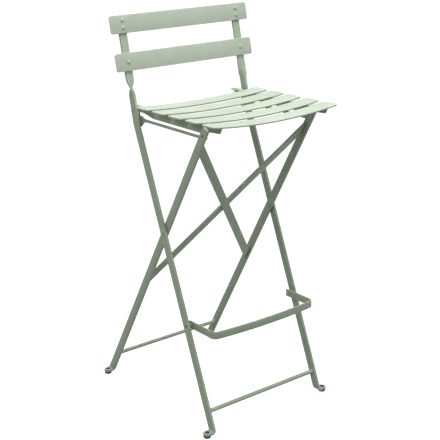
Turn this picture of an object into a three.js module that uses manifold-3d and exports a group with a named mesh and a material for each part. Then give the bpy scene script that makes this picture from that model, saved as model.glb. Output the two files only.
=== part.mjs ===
// Folding bar stool in painted steel: a pair of crossed frames made of flat bar, with a slatted
// seat between them. The long frame is the backrest and the front legs in one, the short frame
// is the rear legs with their X brace, and the seat hinges on the long frame and rests on two
// pins that slide in a slot under its side rails.
// Millimetres, +Z up, +X to the sitter's left, the front of the stool towards -Y.

import * as THREE from "three";
import { mergeVertices } from "three/addons/utils/BufferGeometryUtils.js";
import Module from "manifold-3d";

const wasm = await Module();
wasm.setup();

// Side view. Both frames are straight bars that cross at the side pivots.
const footSpread = 440;
const longLean = THREE.MathUtils.degToRad(22.1);
const shortLean = THREE.MathUtils.degToRad(29.0);
const backLean = THREE.MathUtils.degToRad(13.1);
const hingeHeight = 731;
const bendBelowHinge = 30;
const pinBelowHinge = 15.5;
const backLength = 249;

// Flat bar of the frames, and the gaps between pieces that lie side by side.
const barWidth = 20;
const barThickness = 6;
const frameHalfWidth = 173.8;
const sideGap = 1.5;
const fitGap = 0.3;
const edgeBreak = 0.9;
const overrun = 2;

// The bar's quarter twist, above the seat, which turns its wide face to the front.
const twistMiddle = 87;
const twistLength = 46;
const bendRadius = 70;

// Feet: the bar's end is bent outwards to a flat tab with a plastic glide under it.
const tabReach = 24;
const tabBend = 7;
const glideRadius = 9;
const glideHeight = 6;
const glideStemRadius = 3;
const glideButtonRadius = 5;
const glideButtonHeight = 1.6;
const rearTabReach = 20;

// Backrest slats.
const backSlatOverhang = 35.2;
const backSlatHeight = 42.3;
const backSlatThickness = 3;
const backSlatCorner = 6;
const lowerSlatFrom = 122.8;
const topSlatFrom = 210.2;
const topRivetShares = [0.28, 0.69];
const lowerRivetShare = 0.5;

// Rivets.
const rivetRadius = 2.6;
const rivetHeadRadius = 4.6;
const rivetHeadHeight = 2;
const pivotRadius = 4;
const pivotHeadRadius = 7;
const pivotHeadHeight = 2.8;
const washerRadius = 8;
const slatRivet = { radius: rivetRadius, head: rivetHeadRadius, height: rivetHeadHeight };
const pivotRivet = { radius: pivotRadius, head: pivotHeadRadius, height: pivotHeadHeight };

// Seat: five slats that dip in the middle, on two angle rails.
const slatCount = 5;
const slatOverhang = 26.4;
const slatWidth = 46.2;
const slatPitch = 61.1;
const slatThickness = 3;
const slatCorner = 9;
const slatAboveHinge = 14;
const slatDip = 8;
const firstSlatSetback = 18;
const seatTilt = 0.016;
const railSideGap = 0.4;
const railThickness = 2.5;
const railFlange = 17;
const railRise = 5;
const railRiseLength = 40;
const railRear = 22;
const railFrontSetback = 2;
const railFrontTaper = 5;
const railStep = 7;
const railStepLength = 8;

// Guide bar under each rail, which closes the slot that the pins slide in.
const slotHeight = 6.8;
const guideHeight = 7;
const guideFront = 7.2;
const guideTieLength = 4;
const lugWidth = 20;
const lugDrop = 13;
const hingeSleeveRadius = 4;
const sleeveLength = 4.3;
const hingeRivetRadius = 2.5;
const hingePin = { ...slatRivet, radius: hingeRivetRadius, flush: true };

// Short frame.
const legReach = 20;
const legCorner = 4;
const braceWidth = 16;
const braceThickness = 3.5;
const braceMark = 150;
const braceTopFromPin = 46.5;
const braceBottomFromPin = 453.5;
const rearStretcherHeight = 65;
const rearStretcherRadius = 4;

// Long frame's stretcher and footrest.
const frontStretcherHeight = 54;
const frontStretcherRadius = 4.5;
const footrestHeight = 246;
const footrestReach = 86.6;
const footrestTail = 5;
const footrestEndCorner = 5;
const footrestSideGap = 2.3;
const footrestWidth = 18;
const footrestThickness = 4;
const footrestBend = 12;
const footrestBow = 8;
const standoffRadius = 4;
const footrestPin = { ...hingePin };

// Facets of round forms.
const roundSteps = 16;
const bendSteps = 8;
const domeSteps = 4;
const roundingSteps = 5;

const paint = { color: 0x8f9e8c, roughness: 0.55, metalness: 0.1 };
const slatPaint = { color: 0xb4bfae, roughness: 0.5, metalness: 0.1 };
const plastic = { color: 0x1c1d1b, roughness: 0.7, metalness: 0 };

const crossHeight = footSpread / (Math.tan(longLean) + Math.tan(shortLean));
const longMiddle = frameHalfWidth - barThickness / 2;
const shortMiddle = longMiddle - barThickness - sideGap;
const railHalfSpan = shortMiddle - barThickness / 2 - railSideGap;
const footrestHalfSpan = shortMiddle - barThickness / 2 - footrestSideGap;
const backSlatLength = (longMiddle + backSlatOverhang) * 2;
const slatLength = (railHalfSpan + slatOverhang) * 2;
const backBendHeight = hingeHeight - bendBelowHinge;
const pinHeight = hingeHeight - pinBelowHinge;
const slatEndHeight = hingeHeight + slatAboveHinge;
const railBottom = pinHeight + slotHeight / 2;

// A point of the side view, at a height on one of the leaning bars. The side pivots are at Y 0.
const longY = (z) => (z - crossHeight) * Math.tan(longLean);
const shortY = (z) => (crossHeight - z) * Math.tan(shortLean);

const vec = (x, y, z) => new THREE.Vector3(x, y, z);
const axisX = vec(1, 0, 0);
const axisY = vec(0, 1, 0);
const axisZ = vec(0, 0, 1);

// Directions of the bars in the side view: along them going up, and square to them.
const longUp = vec(0, Math.sin(longLean), Math.cos(longLean));
const longFront = vec(0, -Math.cos(longLean), Math.sin(longLean));
const shortUp = vec(0, -Math.sin(shortLean), Math.cos(shortLean));
const shortBack = vec(0, Math.cos(shortLean), Math.sin(shortLean));
const backUp = vec(0, Math.sin(backLean), Math.cos(backLean));
const backFront = vec(0, -Math.cos(backLean), Math.sin(backLean));

const sides = [["left", -1], ["right", 1]];

const group = new THREE.Group();
const stool = new THREE.Group();
group.add(stool);

function addPiece(name, geometry, look) {
  const mesh = new THREE.Mesh(geometry, new THREE.MeshStandardMaterial(look));
  mesh.name = name;
  stool.add(mesh);
  return mesh;
}

function faceOutwards(geometry) {
  const index = geometry.index.array;
  const place = geometry.attributes.position;
  const a = vec(0, 0, 0);
  const b = vec(0, 0, 0);
  const c = vec(0, 0, 0);
  let volume = 0;
  for (let i = 0; i < index.length; i += 3) {
    a.fromBufferAttribute(place, index[i]);
    b.fromBufferAttribute(place, index[i + 1]);
    c.fromBufferAttribute(place, index[i + 2]);
    volume += a.dot(b.cross(c));
  }
  if (volume < 0) {
    for (let i = 0; i < index.length; i += 3) {
      [index[i + 1], index[i + 2]] = [index[i + 2], index[i + 1]];
    }
  }
  return geometry;
}

// A bar of rectangular section with broken edges, skinned over stations along its middle line.
// Each station gives its middle, the directions across the width and through the thickness,
// and the two sizes.
function bar(stations) {
  const points = [];
  const faces = [];
  const ring = 8;
  for (const s of stations) {
    const halfWidth = s.width / 2;
    const halfThick = s.thick / 2;
    const brk = Math.min(edgeBreak, halfThick / 2, halfWidth / 2);
    const inWidth = halfWidth - brk;
    const inThick = halfThick - brk;
    const section = [
      [halfWidth, -inThick], [halfWidth, inThick], [inWidth, halfThick], [-inWidth, halfThick],
      [-halfWidth, inThick], [-halfWidth, -inThick], [-inWidth, -halfThick], [inWidth, -halfThick],
    ];
    for (const [w, t] of section) {
      const p = s.middle.clone().addScaledVector(s.across, w).addScaledVector(s.through, t);
      points.push(p.x, p.y, p.z);
    }
  }
  const last = (stations.length - 1) * ring;
  for (let k = 0; k < stations.length - 1; k += 1) {
    for (let i = 0; i < ring; i += 1) {
      const j = (i + 1) % ring;
      const a = k * ring;
      const b = a + ring;
      faces.push(a + i, a + j, b + j, a + i, b + j, b + i);
    }
  }
  for (let i = 1; i < ring - 1; i += 1) {
    faces.push(0, i + 1, i);
    faces.push(last, last + i, last + i + 1);
  }
  const geometry = new THREE.BufferGeometry();
  geometry.setAttribute("position", new THREE.Float32BufferAttribute(points, 3));
  geometry.setIndex(faces);
  return faceOutwards(geometry);
}

const station = (middle, across, through, width, thick) => ({ middle, across, through, width, thick });

// Stations that round a bar's end, from the tip inwards: how far each lies past the place
// where the rounding starts, and how wide the bar is there.
function endRounding(width, radius) {
  const steps = [];
  const reach = radius / Math.cos(Math.PI / 2 / roundingSteps);
  for (let i = 1; i <= roundingSteps; i += 1) {
    const turn = (Math.PI / 2) * (i / roundingSteps);
    steps.push({ past: reach * Math.cos(turn), width: width - 2 * radius * (1 - Math.sin(turn)) });
  }
  return steps;
}

function toSolid(geometry) {
  const plain = geometry.clone();
  plain.deleteAttribute("normal");
  plain.deleteAttribute("uv");
  const merged = mergeVertices(plain, fitGap / 1000);
  return new wasm.Manifold(new wasm.Mesh({
    numProp: 3,
    vertProperties: new Float32Array(merged.attributes.position.array),
    triVerts: new Uint32Array(merged.index.array),
  }));
}

function toGeometry(solid) {
  const mesh = solid.getMesh();
  const geometry = new THREE.BufferGeometry();
  geometry.setAttribute("position", new THREE.Float32BufferAttribute(mesh.vertProperties, 3));
  geometry.setIndex(Array.from(mesh.triVerts));
  return geometry;
}

// Drills round holes: each has its middle, its direction, its radius and its depth.
function drill(geometry, holes) {
  let solid = toSolid(geometry);
  for (const hole of holes) {
    const tool = new THREE.CylinderGeometry(hole.radius, hole.radius, hole.depth, roundSteps);
    tool.applyQuaternion(new THREE.Quaternion().setFromUnitVectors(axisY, hole.along));
    tool.translate(hole.at.x, hole.at.y, hole.at.z);
    solid = solid.subtract(toSolid(tool));
  }
  return toGeometry(solid);
}

const barHole = (at, radius) => ({
  at,
  along: axisX,
  radius: radius + fitGap,
  depth: barThickness + overrun,
});

// A rivet turned about its own line: a domed head, a shank through the grip, and a flat
// closing head unless its end stays flush. It is placed with its grip's middle at a point.
function rivet(name, at, along, grip, sizes, look = paint) {
  const half = grip / 2 + fitGap;
  const profile = [];
  if (sizes.flush) {
    profile.push(new THREE.Vector2(0, fitGap - half));
    profile.push(new THREE.Vector2(sizes.radius, fitGap - half));
  } else {
    profile.push(new THREE.Vector2(0, -half - sizes.height / 2));
    profile.push(new THREE.Vector2(sizes.head, -half - sizes.height / 2));
    profile.push(new THREE.Vector2(sizes.head, -half));
    profile.push(new THREE.Vector2(sizes.radius, -half));
  }
  profile.push(new THREE.Vector2(sizes.radius, half));
  for (let i = 0; i <= domeSteps; i += 1) {
    const turn = (Math.PI / 2) * (i / domeSteps);
    const r = i === domeSteps ? 0 : sizes.head * Math.cos(turn);
    profile.push(new THREE.Vector2(r, half + sizes.height * Math.sin(turn)));
  }
  const geometry = new THREE.LatheGeometry(profile, roundSteps);
  const mesh = addPiece(name, faceOutwards(joined(geometry)), look);
  mesh.quaternion.setFromUnitVectors(axisY, along);
  mesh.position.copy(at);
  return mesh;
}

function joined(geometry) {
  geometry.deleteAttribute("normal");
  geometry.deleteAttribute("uv");
  return mergeVertices(geometry, fitGap / 1000);
}

function tube(name, at, along, length, outer, inner, look) {
  const half = length / 2;
  const profile = [
    new THREE.Vector2(inner, -half), new THREE.Vector2(outer, -half),
    new THREE.Vector2(outer, half), new THREE.Vector2(inner, half), new THREE.Vector2(inner, -half),
  ];
  const geometry = faceOutwards(joined(new THREE.LatheGeometry(profile, roundSteps)));
  const mesh = addPiece(name, geometry, look);
  mesh.quaternion.setFromUnitVectors(axisY, along);
  mesh.position.copy(at);
  return mesh;
}

// Stations of a leg's end: down the leaning bar, round a bend and out along a level tab.
// They run from the tab's rounded tip back to the start of the bend.
function footStations(side, up, across, footPoint, reach) {
  const list = [];
  const tabHeight = glideHeight + fitGap + barThickness / 2;
  const out = vec(side, 0, 0);
  const tip = barThickness / 2 + reach;
  const bendFrom = tabBend;
  for (const s of endRounding(barWidth, barWidth / 2)) {
    const middle = footPoint(tabHeight).addScaledVector(out, tip - barWidth / 2 + s.past);
    list.push(station(middle, axisY.clone(), vec(0, 0, side), s.width, barThickness));
  }
  const flatAcross = axisY.clone();
  for (let i = 0; i <= bendSteps; i += 1) {
    const turn = (Math.PI / 2) * (i / bendSteps);
    const rise = bendFrom * (1 - Math.cos(turn));
    const shift = bendFrom * (1 - Math.sin(turn));
    const along = out.clone().multiplyScalar(-Math.cos(turn)).addScaledVector(up, Math.sin(turn));
    along.normalize();
    const wide = flatAcross.clone().lerp(across, i / bendSteps);
    wide.addScaledVector(along, -wide.dot(along)).normalize();
    const through = wide.clone().cross(along).normalize();
    const middle = footPoint(tabHeight + rise).addScaledVector(out, shift);
    list.push(station(middle, wide, through, barWidth, barThickness));
  }
  return list;
}

// A side of the long frame: foot, front leg, bend, twist and backrest upright in one bar.
function longBar(side) {
  const x = side * longMiddle;
  const point = (z) => vec(x, longY(z), z);
  const across = longFront.clone().negate();
  const list = footStations(side, longUp, across, point, tabReach);
  const bend = point(backBendHeight);
  const half = (bendRadius * (longLean - backLean)) / 2;
  const upright = (middle, wide) => station(middle, wide, axisX.clone(), barWidth, barThickness);
  const leanAt = (share) => longLean + (backLean - longLean) * share;
  let walk = bend.clone().addScaledVector(longUp, -half);
  list.push(upright(walk, across));
  for (let i = 1; i <= bendSteps / 2; i += 1) {
    const lean = leanAt((i - 0.5) / (bendSteps / 2));
    const step = (half * 2) / (bendSteps / 2);
    walk = walk.clone().addScaledVector(vec(0, Math.sin(lean), Math.cos(lean)), step);
    const turned = leanAt(i / (bendSteps / 2));
    list.push(upright(walk, vec(0, Math.cos(turned), -Math.sin(turned))));
  }
  const twistSteps = bendSteps * 2;
  for (let i = 0; i <= twistSteps; i += 1) {
    const share = i / twistSteps;
    const turn = (Math.PI / 2) * THREE.MathUtils.smoothstep(share, 0, 1);
    const middle = bend.clone().addScaledVector(backUp, twistMiddle + (share - 0.5) * twistLength);
    const wide = backFront.clone().negate().multiplyScalar(Math.cos(turn));
    wide.addScaledVector(axisX, side * Math.sin(turn));
    const through = axisX.clone().multiplyScalar(Math.cos(turn));
    through.addScaledVector(backFront, side * Math.sin(turn));
    list.push(station(middle, wide, through, barWidth, barThickness));
  }
  const wide = axisX.clone().multiplyScalar(side);
  const through = backFront.clone().multiplyScalar(side);
  const rounding = endRounding(barWidth, barWidth / 2).reverse();
  for (const s of rounding) {
    const middle = bend.clone().addScaledVector(backUp, backLength - barWidth / 2 + s.past);
    list.push(station(middle, wide, through, s.width, barThickness));
  }
  const holes = [
    barHole(point(crossHeight), pivotRadius),
    barHole(point(hingeHeight), hingeRivetRadius),
  ];
  for (const along of backRivetPlaces()) {
    holes.push({
      at: bend.clone().addScaledVector(backUp, along),
      along: backFront,
      radius: rivetRadius + fitGap,
      depth: barThickness + overrun,
    });
  }
  holes.push(barHole(point(footrestHeight), footrestPin.radius));
  holes.push(glideHole(side, longMiddle, longY, tabReach));
  return drill(bar(list), holes);
}

function backRivetPlaces() {
  const places = topRivetShares.map((share) => topSlatFrom + backSlatHeight * (1 - share));
  places.push(lowerSlatFrom + backSlatHeight * lowerRivetShare);
  return places;
}

const tabMiddle = (side, middle, reach) => side * (middle + barThickness / 2 + reach - barWidth / 2);

function glideHole(side, middle, lineY, reach) {
  const z = glideHeight + fitGap + barThickness / 2;
  return {
    at: vec(tabMiddle(side, middle, reach), lineY(z), z),
    along: axisZ,
    radius: glideStemRadius + fitGap,
    depth: barThickness + overrun,
  };
}

// The plastic glide: a disc under the tab, a stem through its hole and a button above it.
function glide(name, side, middle, lineY, reach) {
  const tabTop = glideHeight + fitGap * 2 + barThickness;
  const rim = glideRadius - glideHeight / 4;
  const profile = [
    new THREE.Vector2(0, 0),
    new THREE.Vector2(rim, 0),
    new THREE.Vector2(glideRadius, glideHeight / 4),
    new THREE.Vector2(glideRadius, glideHeight * 0.75),
    new THREE.Vector2(rim, glideHeight),
    new THREE.Vector2(glideStemRadius, glideHeight),
    new THREE.Vector2(glideStemRadius, tabTop),
    new THREE.Vector2(glideButtonRadius, tabTop),
    new THREE.Vector2(glideButtonRadius - glideButtonHeight / 2, tabTop + glideButtonHeight),
    new THREE.Vector2(0, tabTop + glideButtonHeight),
  ];
  const geometry = faceOutwards(joined(new THREE.LatheGeometry(profile, roundSteps)));
  const mesh = addPiece(name, geometry, plastic);
  mesh.quaternion.setFromUnitVectors(axisY, axisZ);
  mesh.position.set(tabMiddle(side, middle, reach), lineY(glideHeight + fitGap + barThickness / 2), 0);
}

// A flat slat with rounded corners, along X, at a height that may follow a dip.
function slat(length, width, thick, corner, middleAt, acrossAt, throughAt) {
  const list = [];
  const half = length / 2;
  const add = (x, w) => list.push(station(middleAt(x), acrossAt(x), throughAt(x), w, thick));
  const ends = endRounding(width, corner);
  const inner = half - corner;
  for (const s of ends) add(-inner - s.past, s.width);
  const steps = bendSteps * 2;
  for (let i = 1; i < steps; i += 1) add(-inner + (2 * inner * i) / steps, width);
  for (const s of ends.slice().reverse()) add(inner + s.past, s.width);
  return bar(list);
}

function backSlat(name, from) {
  const bend = vec(0, longY(backBendHeight), backBendHeight);
  const proud = barThickness / 2 + fitGap + backSlatThickness / 2;
  const middle = bend.clone().addScaledVector(backUp, from + backSlatHeight / 2);
  middle.addScaledVector(backFront, proud);
  const solid = slat(
    backSlatLength, backSlatHeight, backSlatThickness, backSlatCorner,
    (x) => middle.clone().setX(x), () => backUp.clone(), () => backFront.clone(),
  );
  const holes = [];
  for (const along of backRivetPlaces()) {
    if (along < from || along > from + backSlatHeight) continue;
    for (const side of [-1, 1]) {
      const at = bend.clone().addScaledVector(backUp, along).setX(side * longMiddle);
      holes.push({
        at: at.addScaledVector(backFront, proud),
        along: backFront,
        radius: rivetRadius + fitGap,
        depth: backSlatThickness + overrun,
      });
    }
  }
  addPiece(name, drill(solid, holes), slatPaint);
}

// The seat's surface: the height of a slat's top at a place across the seat.
const dipHeight = (x) => slatEndHeight - slatDip * (1 - (x / (slatLength / 2)) ** 2);
const dipSlope = (x) => (2 * slatDip * x) / (slatLength / 2) ** 2;
const seatRear = longY(hingeHeight) - barWidth / 2 - firstSlatSetback;
const seatFront = seatRear - slatPitch * (slatCount - 1) - slatWidth;

// The seat rises a little towards its front.
const seatLift = (y) => (seatRear - y) * seatTilt;

function seatSlat(index) {
  const y = seatRear - slatPitch * index - slatWidth / 2;
  const normal = (x) => vec(-dipSlope(x), seatTilt, 1).normalize();
  const across = () => vec(0, 1, -seatTilt).normalize();
  const middle = (x) => vec(x, y, dipHeight(x) + seatLift(y))
    .addScaledVector(normal(x), -slatThickness / 2);
  return slat(slatLength, slatWidth, slatThickness, slatCorner, middle, across, normal);
}

// A flat piece cut from sheet in the side view: an outline of [y, z] points, given a thickness
// along X from an inner to an outer face.
function sidePlate(outline, inner, outer, side) {
  const shape = new THREE.Shape(outline.map(([y, z]) => new THREE.Vector2(y, z)));
  const geometry = new THREE.ExtrudeGeometry(shape, { depth: outer - inner, bevelEnabled: false });
  geometry.applyMatrix4(new THREE.Matrix4().set(0, 0, 1, inner, 1, 0, 0, 0, 0, 1, 0, 0, 0, 0, 0, 1));
  const plate = joined(geometry);
  plate.scale(side, 1, 1);
  return faceOutwards(plate);
}

// The slow S by which the rail's lower edge rises towards its rear end.
function riseCurve(y) {
  const from = longY(hingeHeight) - railRiseLength / 2;
  return railRise * THREE.MathUtils.smoothstep(y, from, from + railRiseLength);
}

// Side rail: an angle with its web upright and its flange inwards under the slats. The flange's
// top follows the dip and the rise of the slats. In front of the slot the web is less deep.
function sideRail(side) {
  const rear = longY(hingeHeight) + railRear;
  const front = seatFront + railFrontSetback;
  const inner = railHalfSpan - railThickness;
  const underSlat = (x) => dipHeight(x) - slatThickness * Math.hypot(1, dipSlope(x)) - fitGap;
  const top = underSlat(inner) - railThickness / 2;
  const slotFront = shortY(pinHeight) - guideFront;
  const lower = [];
  for (let i = 0; i <= bendSteps; i += 1) {
    const y = rear - (railRiseLength * i) / bendSteps;
    lower.push([y, railBottom + riseCurve(y)]);
  }
  const web = sidePlate([
    ...lower,
    [slotFront, railBottom],
    [slotFront - railStepLength, railBottom + railStep],
    [front + railFrontTaper, railBottom + railStep],
    [front, top + seatLift(front)],
    [rear, top + seatLift(rear)],
  ], inner, railHalfSpan, side);
  const flangeInner = railHalfSpan - railFlange;
  const section = new THREE.Shape([
    new THREE.Vector2(flangeInner, underSlat(flangeInner) - railThickness),
    new THREE.Vector2(railHalfSpan, underSlat(railHalfSpan) - railThickness),
    new THREE.Vector2(railHalfSpan, underSlat(railHalfSpan)),
    new THREE.Vector2(flangeInner, underSlat(flangeInner)),
  ]);
  const flange = new THREE.ExtrudeGeometry(section, { depth: rear - front, bevelEnabled: false });
  flange.applyMatrix4(new THREE.Matrix4().set(
    1, 0, 0, 0,
    0, 0, -1, rear,
    0, 1, seatTilt, seatLift(rear),
    0, 0, 0, 1,
  ));
  const angle = joined(flange);
  angle.scale(side, 1, 1);
  const solid = toSolid(web).add(toSolid(faceOutwards(angle)));
  return drill(toGeometry(solid), [{
    at: vec(side * (railHalfSpan - railThickness / 2), longY(hingeHeight), hingeHeight),
    along: axisX,
    radius: hingeRivetRadius + fitGap,
    depth: railThickness + overrun,
  }]);
}

// Guide bar: it runs below the rail, turns up at the front to close the slot, and ends at the
// rear in a lug that hangs beside the upright.
function guideBar(side) {
  const slotTop = railBottom;
  const slotBottom = slotTop - slotHeight;
  const bottom = slotBottom - guideHeight;
  const rear = longY(hingeHeight) - barWidth / 4;
  const front = shortY(pinHeight) - guideFront;
  const tie = slotTop - fitGap;
  const lugFront = rear - lugWidth;
  const rearTie = rear - guideTieLength;
  const outline = [
    [rear, bottom - lugDrop],
    [rear, tie + riseCurve(rear)],
    [rearTie, tie + riseCurve(rearTie)],
    [rearTie, slotBottom],
    [front + guideTieLength, slotBottom],
    [front + guideTieLength, tie],
    [front, tie],
    [front, bottom + guideHeight / 2],
    [front + guideHeight / 2, bottom],
    [lugFront - lugDrop, bottom],
    [lugFront, bottom - lugDrop / 4],
    [rear - lugWidth / 2, bottom - lugDrop],
  ];
  return sidePlate(outline, railHalfSpan - railThickness, railHalfSpan, side);
}

// Rear leg: a straight flat bar with a foot tab, whose top reaches past the slot pin.
function shortLeg(side) {
  const point = (z) => vec(side * shortMiddle, shortY(z), z);
  const across = shortBack.clone();
  const list = footStations(side, shortUp, across, point, rearTabReach);
  for (const s of endRounding(barWidth, legCorner).reverse()) {
    const middle = point(pinHeight).addScaledVector(shortUp, legReach - legCorner + s.past);
    list.push(station(middle, across, axisX.clone(), s.width, barThickness));
  }
  return drill(bar(list), [
    barHole(point(crossHeight), pivotRadius),
    barHole(point(pinHeight), hingeRivetRadius),
    glideHole(side, shortMiddle, shortY, rearTabReach),
  ]);
}

// A brace: a flat bar from the top of one rear leg to the bottom of the other. The two cross
// back to back in the middle of the legs' width. The top end stops short of the leg, so that
// the seat's rail can pass between them as the stool folds.
function brace(side, layer) {
  const slope = (braceBottomFromPin - braceTopFromPin) / (braceMark * 2);
  const top = railHalfSpan - railThickness - fitGap;
  const bottom = shortMiddle - barThickness / 2 - fitGap;
  const cut = braceWidth * Math.hypot(1, slope);
  const rest = (layer * (braceThickness + fitGap)) / 2;
  const at = (x) => vec(side * x, shortY(pinHeight), pinHeight)
    .addScaledVector(shortUp, -braceTopFromPin - slope * (braceMark - x))
    .addScaledVector(shortBack, rest);
  const ends = [top, -bottom];
  return bar(ends.map((x) => station(at(x), shortUp.clone(), shortBack.clone(), cut, braceThickness)));
}

// Footrest: one flat bar on edge, bent to a U. Its arms run back past the front legs, inside
// the rear legs, and its front is bowed a little.
function footrest() {
  const middleX = footrestHalfSpan - footrestThickness / 2;
  const seatY = longY(footrestHeight);
  const tip = seatY + barWidth / 2 / Math.cos(longLean) + footrestTail;
  const frontY = seatY - footrestReach;
  const half = [];
  for (const s of endRounding(footrestWidth, footrestEndCorner)) {
    half.push({ x: middleX, y: tip - footrestEndCorner + s.past, turn: Math.PI / 2, width: s.width });
  }
  for (let i = 0; i <= bendSteps; i += 1) {
    const a = (Math.PI / 2) * (i / bendSteps);
    half.push({
      x: middleX - footrestBend * (1 - Math.cos(a)),
      y: frontY + footrestBend * (1 - Math.sin(a)),
      turn: Math.PI / 2 + a,
      width: footrestWidth,
    });
  }
  const bowFrom = middleX - footrestBend;
  const path = half.slice();
  for (let i = 1; i < bendSteps * 2; i += 1) {
    const x = bowFrom * (1 - i / bendSteps);
    path.push({ x, y: frontY - footrestBow * (1 - (x / bowFrom) ** 2), turn: Math.PI, width: footrestWidth });
  }
  for (const p of half.slice().reverse()) path.push({ x: -p.x, y: p.y, turn: -p.turn, width: p.width });
  const list = path.map((p) => {
    const through = vec(Math.sin(p.turn), Math.cos(p.turn), 0);
    return station(vec(p.x, p.y, footrestHeight), axisZ.clone(), through, p.width, footrestThickness);
  });
  const holes = sides.map(([, side]) => ({
    at: vec(side * middleX, seatY, footrestHeight),
    along: axisX,
    radius: footrestPin.radius + fitGap,
    depth: footrestThickness + overrun,
  }));
  return drill(bar(list), holes);
}

function rod(name, height, lineY, radius, from, to) {
  const geometry = joined(new THREE.CylinderGeometry(radius, radius, to - from, roundSteps));
  const mesh = addPiece(name, faceOutwards(geometry), paint);
  mesh.quaternion.setFromUnitVectors(axisY, axisX);
  mesh.position.set((from + to) / 2, lineY(height), height);
}

// Long frame: bars, back slats, stretcher, footrest, glides and their rivets.
for (const [word, side] of sides) {
  addPiece(`long_bar_${word}`, longBar(side), paint);
  glide(`front_glide_${word}`, side, longMiddle, longY, tabReach);
}
backSlat("back_slat_top", topSlatFrom);
backSlat("back_slat_lower", lowerSlatFrom);
for (const [word, side] of sides) {
  const bend = vec(side * longMiddle, longY(backBendHeight), backBendHeight);
  const grip = barThickness + fitGap + backSlatThickness;
  const proud = (fitGap + backSlatThickness) / 2;
  backRivetPlaces().forEach((along, i) => {
    const at = bend.clone().addScaledVector(backUp, along).addScaledVector(backFront, proud);
    rivet(`back_rivet_${word}_${i + 1}`, at, backFront, grip, slatRivet, slatPaint);
  });
}
const longInner = longMiddle - barThickness / 2 - fitGap;
rod("front_stretcher", frontStretcherHeight, longY, frontStretcherRadius, -longInner, longInner);

addPiece("footrest", footrest(), paint);
for (const [word, side] of sides) {
  const out = vec(side, 0, 0);
  const inner = footrestHalfSpan - footrestThickness;
  const outer = longMiddle + barThickness / 2;
  const standoff = outer - barThickness - footrestHalfSpan - fitGap * 2;
  const bore = footrestPin.radius + fitGap;
  const seatAt = (x) => vec(side * x, longY(footrestHeight), footrestHeight);
  const standoffAt = seatAt(footrestHalfSpan + fitGap + standoff / 2);
  const rivetAt = seatAt((inner + outer) / 2);
  tube(`footrest_standoff_${word}`, standoffAt, out, standoff, standoffRadius, bore, paint);
  rivet(`footrest_rivet_${word}`, rivetAt, out.clone().negate(), outer - inner, footrestPin);
}

// Side pivots: a rivet through both bars, with a washer between them.
for (const [word, side] of sides) {
  const middle = (longMiddle + shortMiddle) / 2;
  const grip = barThickness * 2 + sideGap;
  const out = vec(side, 0, 0);
  const at = vec(side * middle, 0, crossHeight);
  rivet(`cross_pivot_${word}`, at, out, grip, pivotRivet);
  tube(`cross_washer_${word}`, at, out, sideGap - fitGap * 2, washerRadius, pivotRadius + fitGap, paint);
}

// Short frame: legs, glides, braces and stretcher.
for (const [word, side] of sides) {
  addPiece(`short_leg_${word}`, shortLeg(side), paint);
  glide(`rear_glide_${word}`, side, shortMiddle, shortY, rearTabReach);
}
const shortInner = shortMiddle - barThickness / 2 - fitGap;
rod("rear_stretcher", rearStretcherHeight, shortY, rearStretcherRadius, -shortInner, shortInner);
addPiece("cross_brace_under", brace(-1, -1), paint);
addPiece("cross_brace_over", brace(1, 1), paint);

// Seat: slats, rails, guide bars, hinge sleeves and rivets.
for (let i = 0; i < slatCount; i += 1) addPiece(`seat_slat_${i + 1}`, seatSlat(i), slatPaint);
for (const [word, side] of sides) {
  addPiece(`side_rail_${word}`, sideRail(side), paint);
  addPiece(`guide_bar_${word}`, guideBar(side), paint);
  const out = vec(side, 0, 0);
  const bore = hingeRivetRadius + fitGap;
  const sleeveX = railHalfSpan + fitGap + sleeveLength / 2;
  const sleeveAt = vec(side * sleeveX, longY(hingeHeight), hingeHeight);
  tube(`hinge_sleeve_${word}`, sleeveAt, out, sleeveLength, hingeSleeveRadius, bore, paint);
  const pinAt = vec(side * (railHalfSpan + shortMiddle + barThickness / 2 - railThickness) / 2,
    shortY(pinHeight), pinHeight);
  const pinGrip = shortMiddle + barThickness / 2 - railHalfSpan + railThickness;
  rivet(`slot_pin_${word}`, pinAt, out.clone().negate(), pinGrip, hingePin);
  const rivetAt = vec(side * longMiddle, longY(hingeHeight), hingeHeight);
  rivet(`seat_hinge_rivet_${word}`, rivetAt, out, barThickness, hingePin);
}

// The origin is on the floor under the middle of the stool's outline.
const outline = new THREE.Box3().setFromObject(stool);
const centre = outline.getCenter(vec(0, 0, 0));
stool.position.set(-centre.x, -centre.y, -outline.min.z);

export default group;
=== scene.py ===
# %% [markdown]
# # A folding bar stool in painted flat steel
# This lesson dresses a measured model of a folding bar stool. The measured model is loaded first
# and never moved: it says where every bar, slat and rivet is. Each piece that shows is then
# modelled again on top of it with rounded edges and smooth bends, and gets its paint.

# %% Load the measured frame
import bpy
from math import atan, cos, hypot, pi, radians, sin, tan
from mathutils import Matrix, Vector


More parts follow.
